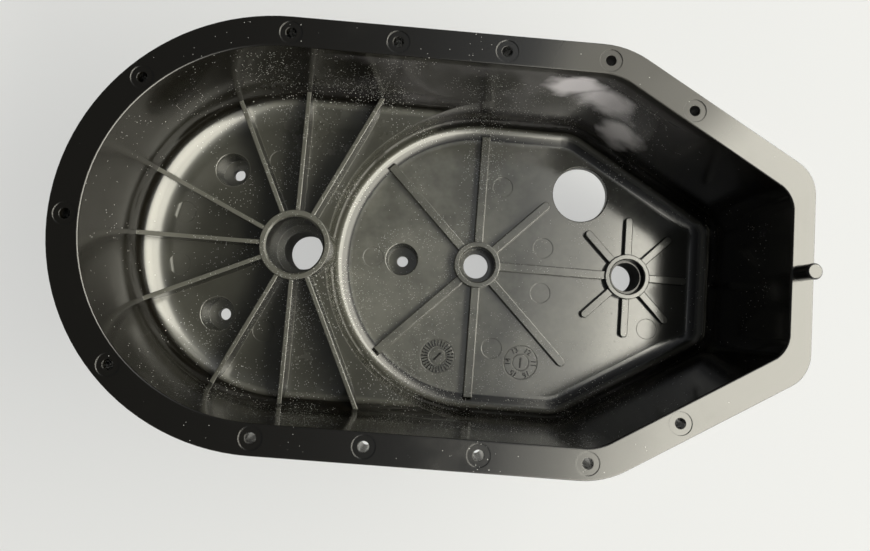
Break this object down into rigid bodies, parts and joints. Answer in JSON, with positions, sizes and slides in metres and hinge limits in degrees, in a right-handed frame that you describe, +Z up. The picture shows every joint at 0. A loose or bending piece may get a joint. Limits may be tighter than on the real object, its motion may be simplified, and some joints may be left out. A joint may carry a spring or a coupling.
{
  "type": "gearbox cover",
  "caption": "Deep black plastic gearbox cover of a meat grinder: stepped tub with shaft bosses, ribs, a screwed flange and a locating pin.",
  "frame": {"origin": "on the output shaft's axis, on the plane that the lowest bosses rest on", "axes": "+X along the row of shafts to the narrow end and its pin, +Z up out of the open side, +Y to the side with the plain hole"},
  "size_m": [0.231, 0.133, 0.073],
  "materials": {
    "black_plastic": "semi-gloss moulded surface with dust and fine scratches"
  },
  "bodies": {
    "root": {"gearbox_cover": "black_plastic"}
  },
  "joints": []
}
